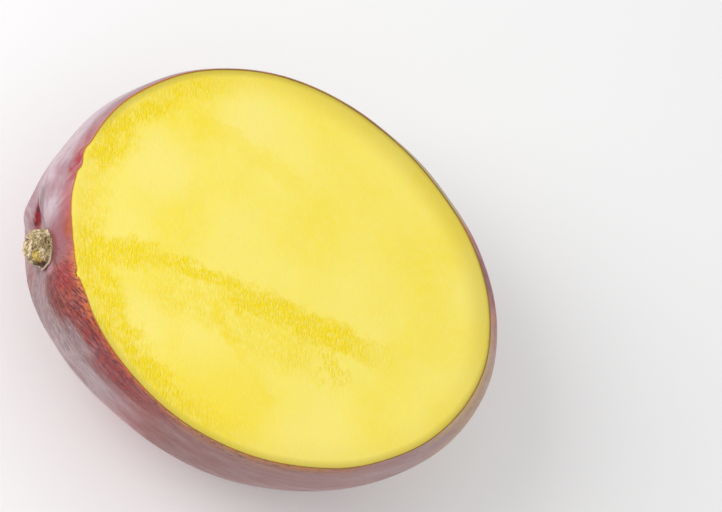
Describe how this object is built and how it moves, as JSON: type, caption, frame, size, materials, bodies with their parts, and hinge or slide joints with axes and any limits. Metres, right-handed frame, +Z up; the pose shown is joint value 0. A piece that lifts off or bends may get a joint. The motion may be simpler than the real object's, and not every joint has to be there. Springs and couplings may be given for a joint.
{
  "type": "mango with one cheek cut off",
  "caption": "Ripe mango with one cheek cut off, lying cut face up: red peel, yellow flesh and a short woody stem stub.",
  "frame": {"origin": "on the surface it rests on, under the middle of its box", "axes": "+X along the long way of the cut face, away from the stem end; +Y across the cut face; +Z up, out of the cut face"},
  "size_m": [0.128, 0.1074, 0.0563],
  "materials": {
    "peel": "satin",
    "flesh": "satin",
    "stem_stub": "matte"
  },
  "bodies": {
    "root": {"peel": "peel", "flesh": "flesh", "stem_stub": "stem_stub"}
  },
  "joints": []
}
